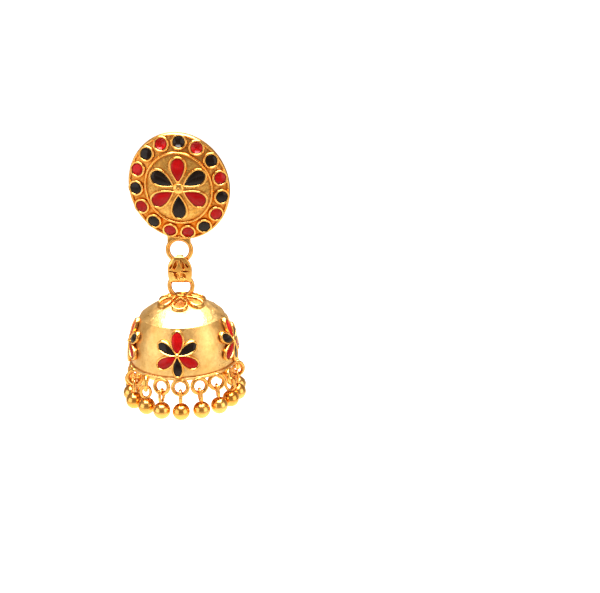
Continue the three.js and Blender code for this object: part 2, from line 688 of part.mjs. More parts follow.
// One ball with its wire eye, hung over the lower wire of its rim ring
function drop(index) {
  const wireZ = -RIM_RING_DOWN - RIM_RING_RADIUS;
  const hook = new THREE.Vector3(0, 0, wireZ).applyMatrix4(dropPlace(index));
  const eyeTop = RIM_RING_WIRE / 2 + EYE_SEAT_ROOM;
  const eyeCentre = eyeTop - EYE_INSIDE_LENGTH / 2;
  const ballCentre = eyeTop - EYE_INSIDE_LENGTH - EYE_WIRE + EYE_ROOT - BALL_DIAMETER / 2;
  const ball = new THREE.SphereGeometry(BALL_DIAMETER / 2, BALL_SIDES, BALL_STACKS);
  turned(ball, 'x', 90).translate(0, 0, ballCentre);
  const eyeRadius = (EYE_INSIDE_WIDTH + EYE_WIRE) / 2;
  const eye = new THREE.TorusGeometry(eyeRadius, EYE_WIRE / 2, DROP_WIRE_SIDES, RIM_RING_SIDES);
  eye.scale(1, (EYE_INSIDE_LENGTH + EYE_WIRE) / (EYE_INSIDE_WIDTH + EYE_WIRE), 1);
  turned(eye, 'x', 90).rotateZ(Math.PI / 2).translate(0, 0, eyeCentre);
  const name = `drop_${String(index + 1).padStart(2, '0')}`;
  const mesh = meshOf(name, solidOf(ball).add(solidOf(eye)), 'gold');
  const sway = radians(DROP_SWAY * Math.sin(7 * index));
  mesh.rotation.set(0, sway, radians(dropAzimuth(index) + dropTurn(index)), 'ZXY');
  mesh.position.copy(hook);
  return mesh;
}

function bellGroup() {
  const group = new THREE.Group();
  group.position.set(0, HANG_Y, 0);
  group.add(bell());
  FLOWER_AZIMUTHS.forEach((azimuth, i) => {
    group.add(bandFlower(`band_flower_${FLOWER_NAMES[i]}`, azimuth));
  });
  for (let i = 0; i < DROP_COUNT; i += 1) {
    group.add(drop(i));
  }
  return group;
}

const earring = new THREE.Group();
earring.add(studGroup(), earPost(), hookLink(), bellGroup());

export default earring;
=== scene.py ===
"""Looks of the jhumka earring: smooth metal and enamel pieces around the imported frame."""

import math

import bpy
import numpy as np
from mathutils import Matrix, Vector

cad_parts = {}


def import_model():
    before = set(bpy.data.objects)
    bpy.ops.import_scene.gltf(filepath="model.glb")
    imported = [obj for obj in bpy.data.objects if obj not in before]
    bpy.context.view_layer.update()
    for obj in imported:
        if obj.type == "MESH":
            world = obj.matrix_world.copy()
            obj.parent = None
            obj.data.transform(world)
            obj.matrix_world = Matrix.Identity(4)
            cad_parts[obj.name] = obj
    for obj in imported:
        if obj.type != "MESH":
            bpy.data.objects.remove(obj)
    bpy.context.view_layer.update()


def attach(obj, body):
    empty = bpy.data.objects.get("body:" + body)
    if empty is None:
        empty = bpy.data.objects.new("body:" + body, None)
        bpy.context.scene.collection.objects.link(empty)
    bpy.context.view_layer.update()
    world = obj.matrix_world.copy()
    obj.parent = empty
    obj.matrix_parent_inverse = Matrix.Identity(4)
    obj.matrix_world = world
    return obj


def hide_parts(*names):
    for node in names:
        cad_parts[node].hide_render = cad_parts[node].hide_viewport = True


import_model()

MM = 0.001

# Lengths are in millimetres and angles in degrees. Most are the same as the solids have.

# Ear post
LOBE_TO_STUD = 2.5
POST_ABOVE_CENTRE = 2.0
POST_RADIUS = 0.4
POST_LENGTH = 11.0
POST_SOCKET_REACH = 0.75
POST_TIP = 0.5

# Stud plate, a leaning oval
STUD_WIDTH = 17.0
STUD_LENGTH = 18.7
STUD_LEAN = 21.0
STUD_ASIDE = 0.5
STUD_EDGE = 0.9
BORDER_WIDTH = 2.7
BORDER_RISE = 0.95
DOME_RISE = 0.45
WIRE = 0.45
RIM_WIRE_HEIGHT = 0.35
INNER_WIRE_HEIGHT = 0.4
# The rounded edge round the stud's back: steps in from the edge, and heights
STUD_BACK_EDGE = [(0.12, 0.0), (0.03, 0.04), (0.0, 0.14)]
EDGE_BEVEL = 0.02
CREASE_STEP = 0.01               # the surface is sampled this close to the border's inner edge
DOME_START = 0.2                 # and from this radius outward
FRONT_SHARE = 0.9                # the front starts at this share of the edge's thickness

# Cells, petals and enamel on the stud
CELL_DIAMETER = 2.75
CELL_WALL = 0.36
CELL_HEIGHT = 0.48
CELL_TURN = 4.0
CELL_FLOOR = 2.2
CELL_FLOOR_ROOT = -0.2
WALL_ROOT = -0.3                 # soldered walls reach down to here
ENAMEL_GAP = 0.05
ENAMEL_EDGE = 0.32
ENAMEL_CROWN = 0.1
DISHED_EDGE = 0.36
DISHED_CROWN = -0.3
PETAL_CROWN = 0.12
PETAL_START = 1.2
PETAL_END = 5.1
PETAL_WIDTH = 2.2
PETAL_OVERRUN = 0.45             # the petals' walls run this much further towards the middle

# Boss in the stud's middle, with a dimple given as radii and heights from the boss's top
BOSS_DIAMETER = 1.9
BOSS_HEIGHT = 0.6
BOSS_SHOULDER = 0.25             # the boss rounds in above this share of its height
BOSS_DIMPLE = [(0.22, 0.0), (0.1, -0.1), (0.0, -0.12)]
DIMPLE_RADIUS = 0.15

# Rings that face forward, and the tab between the stud and its ring
RING_HOLE = 3.26
RING_WIRE = 0.8
RING_DROP = 2.2
RING_SIDES = 16                  # of the solids' rings
RING_ROOT = 0.25
TAB_WIDTH = 4.0
TAB_THICKNESS = 0.7
TAB_BEVEL = 0.12
TAB_BEVEL_DEPTH = 0.1
TAB_BEHIND_STUD = 0.75
TAB_INTO_RING = 0.13
TAB_SHOULDER = 0.9
TAB_FOOT = 0.05
TAB_FLARE = 0.2                  # the tab's foot is this much wider to each side

# Hook link
LINK_INSIDE = 3.8
LINK_STRAP = 0.5
LINK_STRAP_WIDTH = 1.1
RING_SIDE_ROOM = 0.26
RING_SEAT_PLAY = 0.05
LINK_FACE_WIDTH = 4.3
LINK_EDGE = 0.3
LINK_FACE_BULGE = 0.4
STRAP_STEP = 0.3
STRAP_SQUARENESS = 4.0
FACE_SIDE_PARTS = 8
FACE_SMOOTHINGS = 6
FACE_ROUNDNESS = 0.55            # power of the face's bulge: 0.5 is an ellipse
GROOVE_DEPTH = 0.42
GROOVE_TAPER = 0.45              # share of its width that a groove tapers towards
GROOVE_END = 0.1                 # share of the taper's curve that is cut off at each end
GROOVE_FLOOR = 1.35              # above 1, a groove has a flat floor in its middle
GROOVE_SHADE = 1.1

# Bell
RIDGE_DIAMETER = 14.9
CROWN_DROP = 3.0
BAND_HEIGHT = 8.95
BAND_DIAMETER = 18.9
BAND_SWELL = 2.4
BELL_WALL = 0.55
RIM_ROLL = 0.6
RIM_ROLL_OUT = 0.22
ROLL_SINK = 0.08                 # the rolled rim starts this far inside the band
ROLL_SEAM = 0.15                 # the band ends this far above the roll
RIM_STEP = 0.1
SURFACE_SLACK = 0.05             # points this far inside the outer surface still count as outside

# Flower on the crown
CAP_PETALS = 6
CAP_PETAL_START = 0.9
CAP_PETAL_END = 4.6
CAP_PETAL_WIDTH = 2.9
CAP_WALL = 0.5
CAP_HEIGHT = 0.62
CAP_FLOOR_INSET = 0.4
CAP_FLOOR_ROOT = -0.2
CAP_FLOOR = 0.22

# Flowers on the band
FLOWER_BELOW_RIDGE = 4.2
FLOWER_REACH = 3.85
FLOWER_GAP = 0.08
FLOWER_THICKNESS = 0.65
FLOWER_WALL = 0.27
FLOWER_RIM = 0.36                # width of the gold round each enamel
FLOWER_START = 0.1
FLOWER_START_STEP = 0.2          # the enamel starts this much further out for each wall's width
FLOWER_ENAMEL_OVERLAP = 0.97     # the enamel reaches a little under the gold
FLOWER_ENAMEL_ROOT = 0.02
FLOWER_ENAMEL_SINK = 0.2
FLOWER_BOSS_RADIUS = 0.45
FLOWER_BOSS_SHOULDER = 0.35
FLOWER_BOSS_PROUD = 0.25

# Rings under the rim and the balls on them
DROP_COUNT = 18
DROP_START = 2.0
RIM_RING_OUTSIDE = 3.3
RIM_RING_WIRE = 0.72
RIM_RING_DEPTH = 0.8
RIM_RING_LEAN = 7.0
RIM_RING_SINK = 0.45
RIM_RING_TURNS = {2: -25, 3: 25, 4: -70, 15: 55, 16: -45}
BALL_DIAMETER = 3.05
EYE_WIRE = 0.55
EYE_SIDE_ROOM = 0.15
EYE_INSIDE_LENGTH = 1.8
EYE_SEAT_ROOM = 0.08
EYE_ROOT = 0.15
DROP_SWAY = 5.0

# Edges that bend more than this many degrees look sharp
CREASE = 50
SHELL_CREASE = 16

# How many steps round shapes are cut into
STUD_SIDES = 240
BELL_SIDES = 180
OVAL_WIRE_STEPS = 180
ROUND_SIDES = 48
POST_SIDES = 36

# Enamel of the stud's cells, clockwise from the top, black or red, and which of them are dished
CELL_COLOURS = "brbrbrbrrbrbrbr"
DISHED_CELLS = (0, 1, 14)

# Petals on the stud: direction and colour
STUD_PETALS = [(30, "b"), (90, "r"), (150, "b"), (210, "r"), (270, "b"), (330, "r")]

# Petals of a band flower: direction, end and width as shares of the flower's reach, and colour
BAND_PETALS = [
    (90, 1.0, 0.55, "r"),
    (29, 0.97, 0.42, "b"),
    (151, 0.97, 0.42, "b"),
    (-33, 1.0, 0.5, "r"),
    (215, 1.0, 0.5, "r"),
    (271, 0.98, 0.38, "b"),
]

# Flowers on the band and where they sit, in degrees from the front
FLOWERS = [("left", -76), ("front", 0), ("right", 76), ("back_right", 144), ("back_left", 216)]

# Outline of the link's face: half widths and heights as shares
FACE_SIDE = [
    (0.14, 1.0),
    (0.24, 0.975),
    (0.33, 0.9),
    (0.43, 0.76),
    (0.48, 0.64),
    (0.5, 0.5),
    (0.5, 0.38),
    (0.485, 0.2),
    (0.45, 0.05),
    (0.42, 0.0),
]
FACE_MIDDLE = 0.45

# The rounded edge round the face's back: shares of the outline, heights and their painted shade
FACE_BACK = [(0.93, 0.0, 0.3), (0.97, 0.02, 0.3), (0.99, 0.07, 0.25), (1.0, 0.14, 0.2)]

# Carved grooves: two ends and a half width, as shares of the face's width and height
GROOVES = [
    ((-0.1, 0.82), (-0.23, 0.56), 0.065),
    ((0.06, 0.85), (0.17, 0.58), 0.06),
    ((0.24, 0.74), (0.34, 0.6), 0.035),
    ((-0.3, 0.7), (-0.4, 0.54), 0.035),
    ((-0.42, 0.44), (-0.12, 0.41), 0.028),
    ((0.06, 0.47), (0.38, 0.45), 0.025),
    ((-0.07, 0.2), (-0.18, 0.34), 0.085),
    ((0.09, 0.35), (0.2, 0.24), 0.08),
]

# A raised round-topped wall: shares of its width and height, and the painted shade of the metal
WALL_STEPS = [
    (0.0, 0.55, 0.25),
    (0.06, 0.8, 0.0),
    (0.25, 0.95, 0.0),
    (0.5, 1.0, 0.0),
    (0.75, 0.95, 0.0),
    (0.94, 0.8, 0.0),
    (1.0, 0.55, 0.25),
]
WALL_FOOT_SHADE = 0.8

# Painted shade: how far the metal's colour is darkened towards amber, from 0 to 1, and how far such a shade
# reaches
BORDER_SHADE = 0.35              # between the stud's cells
BORDER_SHADE_LEVEL = 0.95        # share of it at the stud's middle height
BORDER_SHADE_FALL = 0.4          # the share falls by this much towards the top, and rises below
BORDER_SHADE_REACH = 0.4
PETAL_SHADE = 0.55
PETAL_SHADE_REACH = 0.4
DOME_RIM_SHADE = 0.75
DOME_RIM_SHADE_REACH = 0.5
DIMPLE_SHADE = 0.9
RING_SHADE = 0.25
RING_HOLE_SHADE = 0.4            # more towards the hole
TAB_SHADE = 0.15
STRAP_SHADE = 0.5
CAP_FLOOR_SHADE = 0.75
SHELL_TOP_SHADE = 0.35
SHELL_TOP_REACH = 1.0
SHELL_SEAM_SHADE = 0.7
SHELL_SEAM_REACH = 0.14
SHELL_INSIDE_SHADE = 0.25
SHELL_RIM_BRIGHT = 0.2           # the inside is bright up to this far above the rim
RIM_RING_SHADE = 0.75
RIM_RING_SHADE_START = 0.15
BALL_SHADE = 0.6
BALL_SHADE_START = 0.55          # share of the ball's radius above its middle
EYE_SHADE = 0.1

# A filling's rounded edge: shares of its outline, heights from its edge and their painted shade
FILL_EDGE = [(1.0, -0.05, 0.8), (0.985, -0.01, 0.35), (0.94, 0.03, 0.0)]
FILL_SHARES = (0.8, 0.6, 0.4, 0.2, 0.05)

# The largest half width that a leaf's formula gives, for a teardrop and for a fuller petal
TEARDROP_WIDEST = 4 / (3 * math.sqrt(3))
FULL_PETAL_WIDEST = 0.84
FULL_PETAL_FULLNESS = 0.3
FULL_PETAL_POINTS = 56

# Places that follow from the sizes
STUD_R = STUD_WIDTH / 2
OVAL = STUD_LENGTH / STUD_WIDTH
LEAN = math.radians(STUD_LEAN)
BORDER_INNER = STUD_R - BORDER_WIDTH
CELL_RING_R = STUD_R - BORDER_WIDTH / 2
REACH_DOWN = STUD_R / math.hypot(math.cos(LEAN) / OVAL, math.sin(LEAN))
HANG_Y = -LOBE_TO_STUD - TAB_THICKNESS / 2
RING_R = (RING_HOLE + RING_WIRE) / 2
HOLE_FLAT = RING_HOLE / 2 * math.cos(math.pi / RING_SIDES)
SEAT_REACH = math.sqrt(HOLE_FLAT**2 - (LINK_STRAP_WIDTH / 2) ** 2)
SEAT_ROOM = RING_HOLE / 2 - SEAT_REACH + RING_SEAT_PLAY
STUD_RING_Z = -POST_ABOVE_CENTRE - REACH_DOWN - RING_DROP
LINK_TOP_Z = STUD_RING_Z - RING_R + RING_WIRE / 2 + SEAT_ROOM
LINK_BOTTOM_Z = LINK_TOP_Z - LINK_INSIDE
BELL_RING_Z = LINK_BOTTOM_Z + RING_WIRE / 2 + SEAT_ROOM - RING_R
CROWN_Z = BELL_RING_Z - RING_R - RING_WIRE / 2 + RING_ROOT
RIDGE_Z = CROWN_Z - CROWN_DROP
RIM_Z = RIDGE_Z - BAND_HEIGHT
RIDGE_R = RIDGE_DIAMETER / 2
BAND_R = BAND_DIAMETER / 2
RIM_RING_R = (RIM_RING_OUTSIDE - RIM_RING_WIRE) / 2
RIM_RING_DOWN = RIM_RING_OUTSIDE / 2 - RIM_RING_SINK

# From the flat plane in which the stud, the rings and the link's face are shaped to upright
UPRIGHT = Matrix.Rotation(math.pi / 2, 4, "X")
STUD = Matrix.Translation((STUD_ASIDE, -LOBE_TO_STUD, -POST_ABOVE_CENTRE)) @ UPRIGHT
BELL = Matrix.Translation((0, HANG_Y, 0))

# Depths of the fine relief, in metres
GRAIN_DEPTH = 0.00004
DENT_DEPTH = 0.0002
WAVE_DEPTH = 0.0001

# Specks in the gold are this much coarser and fainter than its grain, and tinted darker
SPECK_SHARE = 0.45
SPECK_TINT = (0.7, 0.58, 0.45)
GLOSS_MOTTLE = 2.3               # the gloss varies this much more finely than the tone
# Painted shade: the enamel's edge is painted this share of its deep colour
ENAMEL_EDGE_SHADE = 0.45

# Sockets of a Mix node that mixes colours
MIX_FACTOR = 0
MIX_A = 6
MIX_B = 7
MIX_RESULT = 2


# Materials


class Nodes:
    """A small helper to build a node material."""

    def __init__(self, name):
        self.mat = bpy.data.materials.new(name)
        self.mat.use_nodes = True
        self.tree = self.mat.node_tree
        self.shader = self.tree.nodes["Principled BSDF"]

    def add(self, kind, **values):
        node = self.tree.nodes.new(kind)
        for key, value in values.items():
            if key in node.inputs:
                node.inputs[key].default_value = value
            else:
                setattr(node, key, value)
        return node

    def link(self, out, into):
        self.tree.links.new(out, into)

    def drive(self, out, name):
        """Lets a socket drive one of the shader's inputs."""
        self.link(out, self.shader.inputs[name])

    def set(self, name, value):
        self.shader.inputs[name].default_value = value

    def painted_shade(self):
        """The painted shade that each mesh gives its points, from 0 to 1."""
        return self.add("ShaderNodeAttribute", attribute_name="painted_shade").outputs["Fac"]

    def noise(self, scale, detail=4.0, rough=0.55):
        """Noise that lies in the object's own space."""
        where = self.add("ShaderNodeTexCoord").outputs["Object"]
        node = self.add("ShaderNodeTexNoise", Scale=scale, Detail=detail, Roughness=rough)
        self.link(where, node.inputs["Vector"])
        return node.outputs["Fac"]

    def ranged(self, fac, low, high, start=0.3, end=0.7):
        """The value with start to end stretched to low to high."""
        node = self.add("ShaderNodeMapRange")
        node.inputs["From Min"].default_value = start
        node.inputs["From Max"].default_value = end
        node.inputs["To Min"].default_value = low
        node.inputs["To Max"].default_value = high
        self.link(fac, node.inputs["Value"])
        return node.outputs["Result"]

    def mix(self, fac, a, b):
        """A blend from a to b, each a colour or a socket."""
        node = self.add("ShaderNodeMix", data_type="RGBA")
        for socket, value in ((node.inputs[MIX_A], a), (node.inputs[MIX_B], b)):
            if isinstance(value, tuple):
                socket.default_value = (*value, 1.0)
            else:
                self.link(value, socket)
        self.link(fac, node.inputs[MIX_FACTOR])
        return node.outputs[MIX_RESULT]

    def bump(self, height, strength, distance, normal=None):
        node = self.add("ShaderNodeBump", Strength=strength, Distance=distance)
        self.link(height, node.inputs["Height"])
        if normal is not None:
            self.link(normal, node.inputs["Normal"])
        return node.outputs["Normal"]


def tinted(colour, tint):
    return tuple(part * share for part, share in zip(colour, tint))


def gold(name, bright, deep, rough, mottle, grain, dents):
    """Gold: a mottled tone that is painted amber as shade in recesses, uneven gloss, fine grain and dents.

    rough is a range, mottle is a noise scale, and grain and dents are a noise scale and a strength.
    """
    m = Nodes(name)
    tone = m.ranged(m.noise(mottle, detail=5.0), 0.0, 1.0, start=0.35, end=0.68)
    specks = m.noise(grain[0] * SPECK_SHARE, detail=3.0, rough=0.7)
    speck = m.ranged(specks, 0.0, grain[1] * SPECK_SHARE, start=0.45, end=0.72)
    body = m.mix(speck, m.mix(tone, bright, deep), tinted(deep, SPECK_TINT))
    # Painted shade: the colour turns amber where the mesh's painted shade is high
    m.drive(m.mix(m.painted_shade(), body, SHADE_AMBER), "Base Color")
    m.drive(m.ranged(m.noise(mottle * GLOSS_MOTTLE, detail=6.0), *rough), "Roughness")
    m.set("Metallic", 1.0)
    fine = m.bump(m.noise(grain[0], detail=6.0, rough=0.65), grain[1], GRAIN_DEPTH)
    m.drive(m.bump(m.noise(dents[0], detail=2.0), dents[1], DENT_DEPTH, fine), "Normal")
    return m.mat


def enamel(name, bright, deep, rough):
    """Glossy enamel with a slightly uneven tone, a painted shade darkening its edge, soft waves and a clear
    coat.
    """
    m = Nodes(name)
    tone = m.ranged(m.noise(420.0, detail=3.0), 0.0, 1.0)
    # Painted shade: darker enamel where the mesh's painted shade is high, at its edge by the wall
    edge = tinted(deep, [ENAMEL_EDGE_SHADE] * 3)
    m.drive(m.mix(m.painted_shade(), m.mix(tone, bright, deep), edge), "Base Color")
    m.drive(m.ranged(m.noise(1500.0, detail=4.0), *rough), "Roughness")
    m.set("Coat Weight", 0.25)
    m.set("Coat Roughness", 0.04)
    m.set("Specular IOR Level", 0.12)
    m.drive(m.bump(m.noise(900.0, detail=2.0), 0.25, WAVE_DEPTH), "Normal")
    return m.mat


# Painted shade: the amber that the gold is painted towards in recesses and other shaded places
SHADE_AMBER = (0.5, 0.115, 0.004)
POLISHED = gold(
    "polished_gold",
    bright=(1.0, 0.6, 0.18),
    deep=(0.9, 0.44, 0.085),
    rough=(0.12, 0.24),
    mottle=260.0,
    grain=(5200.0, 0.18),
    dents=(900.0, 0.12),
)
SATIN = gold(
    "satin_gold",
    bright=(1.0, 0.69, 0.27),
    deep=(0.88, 0.52, 0.16),
    rough=(0.26, 0.4),
    mottle=330.0,
    grain=(4600.0, 0.9),
    dents=(900.0, 0.4),
)
DOME = gold(
    "hammered_gold",
    bright=(1.0, 0.6, 0.17),
    deep=(0.76, 0.36, 0.06),
    rough=(0.2, 0.36),
    mottle=520.0,
    grain=(3800.0, 0.8),
    dents=(1300.0, 0.5),
)
RED = enamel("red_enamel", (0.46, 0.003, 0.005), (0.31, 0.002, 0.003), (0.07, 0.16))
BLACK = enamel("black_enamel", (0.014, 0.007, 0.005), (0.005, 0.003, 0.003), (0.06, 0.14))
ENAMELS = {"r": (RED, "red_enamel"), "b": (BLACK, "black_enamel")}


# Mesh helpers, all in millimetres. A part is its points, its faces, and its painted shade, how far
# its colour is darkened: one number, or one for each point.


def piece(name, parts, material, body, replaced, crease=CREASE):
    """One object from parts."""
    points, faces, shades = [], [], []
    base = 0
    for part_points, part_faces, painted_shade in parts:
        part_points = np.asarray(part_points, float)
        points.append(part_points)
        faces.extend([[base + i for i in face] for face in part_faces])
        shades.append(np.broadcast_to(np.asarray(painted_shade, float), (len(part_points),)))
        base += len(part_points)
    mesh = bpy.data.meshes.new(name)
    mesh.from_pydata(np.concatenate(points) * MM, [], faces)
    mesh.validate()
    mesh.polygons.foreach_set("use_smooth", [True] * len(mesh.polygons))
    mesh.set_sharp_from_angle(angle=math.radians(crease))
    # Each point's painted shade goes with the mesh as an attribute
    layer = mesh.attributes.new("painted_shade", "FLOAT", "POINT")
    layer.data.foreach_set("value", np.concatenate(shades))
    mesh.materials.append(material)
    obj = bpy.data.objects.new(name, mesh)
    bpy.context.scene.collection.objects.link(obj)
    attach(obj, body)
    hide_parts(*replaced)


def wound(part):
    """The part with its faces turned round where they point inward, judged by its volume."""
    points, faces, painted_shade = part
    volume = 0.0
    for face in faces:
        for k in range(1, len(face) - 1):
            volume += np.dot(points[face[0]], np.cross(points[face[k]], points[face[k + 1]]))
    if volume < 0:
        faces = [face[::-1] for face in faces]
    return points, faces, painted_shade


def put(part, matrix):
    """The part with its faces outward, moved by the matrix."""
    points, faces, painted_shade = wound(part)
    m = np.array(matrix)
    return points @ m[:3, :3].T + m[:3, 3], faces, painted_shade


def turns(count):
    """Angles of that many even steps round a circle."""
    return np.linspace(0, 2 * math.pi, count, endpoint=False)


def circle(diameter, count=ROUND_SIDES):
    turn = turns(count)
    return np.stack([np.cos(turn), np.sin(turn)], 1) * diameter / 2


def skin(rings, closed=False):
    """Quads through rings of equally many points. A closed skin also joins the last to the first."""
    count = len(rings[0])
    faces = []
    for level in range(len(rings) if closed else len(rings) - 1):
        a = level * count
        b = (level + 1) % len(rings) * count
        for i in range(count):
            following = (i + 1) % count
            faces.append([a + i, a + following, b + following, b + i])
    return np.concatenate(rings), faces


def capped(rings, first=None, last=None):
    """An open skin with a fan round an end point at each end, by default the end ring's middle."""
    points, faces = skin(rings)
    count = len(rings[0])
    top = len(points) - count
    first = rings[0].mean(0) if first is None else first
    last = rings[-1].mean(0) if last is None else last
    faces.extend([len(points), (i + 1) % count, i] for i in range(count))
    faces.extend([len(points) + 1, top + i, top + (i + 1) % count] for i in range(count))
    return np.vstack([points, first, last]), faces


def lathe(profile, sides):
    """A profile of (radius, height) turned round Z. Its first and last points lie on the axis."""
    ring = circle(2, sides)
    rings = [np.column_stack([ring * radius, np.full(sides, z)]) for radius, z in profile[1:-1]]
    return capped(rings, [0, 0, profile[0][1]], [0, 0, profile[-1][1]])


def sweep(path, normal, section):
    """A section of (sideways, along normal) points swept round a flat closed path."""
    ahead = np.roll(path, -1, 0) - np.roll(path, 1, 0)
    ahead /= np.linalg.norm(ahead, axis=1)[:, None]
    normal = np.asarray(normal, float)
    rings = []
    for point, side in zip(path, np.cross(ahead, normal)):
        rings.append(point + np.outer(section[:, 0], side) + np.outer(section[:, 1], normal))
    return skin(rings, closed=True)


def oval_section(half_a, half_b, count, power=2.0):
    """An oval, or a box with round corners where the power is above 2."""
    turn = turns(count)
    cosine = np.cos(turn)
    sine = np.sin(turn)
    bend = 2.0 / power
    across = half_a * np.sign(cosine) * np.abs(cosine) ** bend
    along = half_b * np.sign(sine) * np.abs(sine) ** bend
    return np.stack([across, along], 1)


def torus(radius, half_a, half_b, sides=72, around=24, stretch=1.0):
    """A ring in the XY plane: half_a across the wire in the plane, half_b out of it."""
    turn = turns(sides)
    path = np.stack([radius * np.cos(turn), radius * stretch * np.sin(turn), 0 * turn], 1)
    return sweep(path, (0, 0, 1), oval_section(half_a, half_b, around))


def leaf(start, end, width, angle, fullness=0.0, widest=TEARDROP_WIDEST, count=ROUND_SIDES):
    """A leaf from its point at start to its round end. Fullness makes it wider near the point."""
    turn = turns(count)
    blend = fullness + (1 - fullness) * np.abs(np.sin(turn / 2))
    reach = start + (end - start) * (1 - np.cos(turn)) / 2
    side = width / 2 * np.sin(turn) * blend / widest
    cosine = math.cos(math.radians(angle))
    sine = math.sin(math.radians(angle))
    return np.outer(reach, [cosine, sine]) + np.outer(side, [-sine, cosine])


def shrunk(outline, share, middle):
    return middle + (outline - middle) * share


def refined(path, parts):
    """A closed path with each side cut into equal parts: as many as parts(length) says."""
    points = []
    for a, b in zip(path, np.roll(path, -1, 0)):
        count = parts(np.hypot(*(b - a)))
        points.extend(a + (b - a) * k / count for k in range(count))
    return np.array(points)


def near(distance, reach):
    """1 where the distance is zero, falling to 0 at the reach."""
    return np.clip(1 - distance / reach, 0, 1)


def closest(points, others):
    """The distance in plan from each point to the nearest of the others."""
    across = points[:, None, 0] - others[None, :, 0]
    along = points[:, None, 1] - others[None, :, 1]
    return np.min(np.hypot(across, along), 1)


# A surface maps an outline's points and a height over it to points in space.


def flat(points, height):
    return np.column_stack([points, np.full(len(points), float(height))])


def collar(outline, wall, root, top, surface):
    """A raised round-topped wall with painted shade low on its sides. outline(inset) gives the outline set
    in by that much.
    """
    steps = [(0.0, root, WALL_FOOT_SHADE)]
    steps += [(across, up * top, painted_shade) for across, up, painted_shade in WALL_STEPS]
    steps += [(1.0, root, WALL_FOOT_SHADE)]
    rings = [surface(outline(wall * across), height) for across, height, _ in steps]
    points, faces = skin(rings, closed=True)
    return points, faces, np.repeat([painted_shade for _, _, painted_shade in steps], len(rings[0]))


def fill(outline, low, edge, crown, surface):
    """A filling inside an outline, with a rounded edge, painted shade round that edge and a crowned or
    dished middle.
    """
    rim_share, rim_lift, _ = FILL_EDGE[-1]
    steps = [(1.0, low, 1.0)]
    steps += [(share, edge + lift, painted_shade) for share, lift, painted_shade in FILL_EDGE]
    for share in FILL_SHARES:
        steps.append((share, edge + rim_lift + crown * (1 - (share / rim_share) ** 2), 0.0))
    middle = outline.mean(0)
    rings = [surface(shrunk(outline, share, middle), height) for share, height, _ in steps]
    points, faces = capped(rings)
    painted_shade = np.repeat([painted_shade for _, _, painted_shade in steps], len(rings[0]))
    return points, faces, np.append(painted_shade, [1.0, 0.0])


# Stud, shaped flat: x to the right, y up, z towards the viewer


def stud_height(points):
    """The height of the stud's front over its back."""
    points = np.asarray(points, float)
    across = points[:, 0] * math.cos(LEAN) + points[:, 1] * math.sin(LEAN)
    along = points[:, 1] * math.cos(LEAN) - points[:, 0] * math.sin(LEAN)
    radius = np.hypot(across, along / OVAL)
    border = STUD_EDGE + BORDER_RISE * (STUD_R - radius) / BORDER_WIDTH
    dome = STUD_EDGE + BORDER_RISE + DOME_RISE * (1 - (radius / BORDER_INNER) ** 2)
    return np.where(radius > BORDER_INNER, border, dome)


def on_stud(points, height):
    return np.column_stack([points, stud_height(points) + height])


def on_oval(radius, angle):
    """The point at that angle of the leaning oval, where its radius across is the given one."""
    x = radius * math.cos(angle)
    y = radius * math.sin(angle) * OVAL
    return np.array([x * math.cos(LEAN) - y * math.sin(LEAN), x * math.sin(LEAN) + y * math.cos(LEAN)])


def stud_level(radius):
    """The radius with the height of the stud's front there."""
    return radius, float(stud_height([on_oval(radius, 0)])[0])


def cell_place(index):
    """Where a round cell sits on the sloping border, tilted with it."""
    angle = math.radians(90 - CELL_TURN - 360 * index / len(CELL_COLOURS))
    x, y = on_oval(CELL_RING_R, angle - LEAN)
    axis = Vector((-math.sin(angle), math.cos(angle), 0))
    tilt = Matrix.Rotation(math.atan2(BORDER_RISE, BORDER_WIDTH), 4, axis)
    return Matrix.Translation((x, y, float(stud_height([(x, y)])[0]))) @ tilt


def petal_outline(angle):
    """The outline of a stud petal's wall, as a function of how far it is set in."""

    def outline(inset):
        grow = CELL_WALL + ENAMEL_GAP - inset
        inward = PETAL_OVERRUN - PETAL_OVERRUN * inset / CELL_WALL
        return leaf(PETAL_START - inward, PETAL_END + grow, PETAL_WIDTH + 2 * grow, angle)

    return outline


def stud_shade(points, radius):
    """Painted shade between the cells and close to walls, darkest low on the border and lightest high on it.
    """
    painted_shade = np.zeros(len(points))
    front = points[:, 2] > STUD_EDGE * FRONT_SHARE
    border = front & (radius > BORDER_INNER)
    cells = np.array([cell_place(i).translation[:2] for i in range(len(CELL_COLOURS))])
    gap = closest(points[border], cells) - CELL_DIAMETER / 2
    edge = np.minimum(radius[border] - BORDER_INNER, STUD_R - WIRE - radius[border])
    shade = BORDER_SHADE + (1 - BORDER_SHADE) * near(np.minimum(gap, edge), BORDER_SHADE_REACH)
    share = BORDER_SHADE_LEVEL - BORDER_SHADE_FALL * points[border, 1] / STUD_R
    painted_shade[border] = np.clip(shade * share, 0, 1)
    middle = front & (radius <= BORDER_INNER)
    petals = np.concatenate([petal_outline(angle)(0.0) for angle, _ in STUD_PETALS])
    wall = PETAL_SHADE * near(closest(points[middle], petals), PETAL_SHADE_REACH)
    rim = DOME_RIM_SHADE * near(BORDER_INNER - WIRE - radius[middle], DOME_RIM_SHADE_REACH)
    painted_shade[middle] = np.maximum(wall, rim)
    return painted_shade


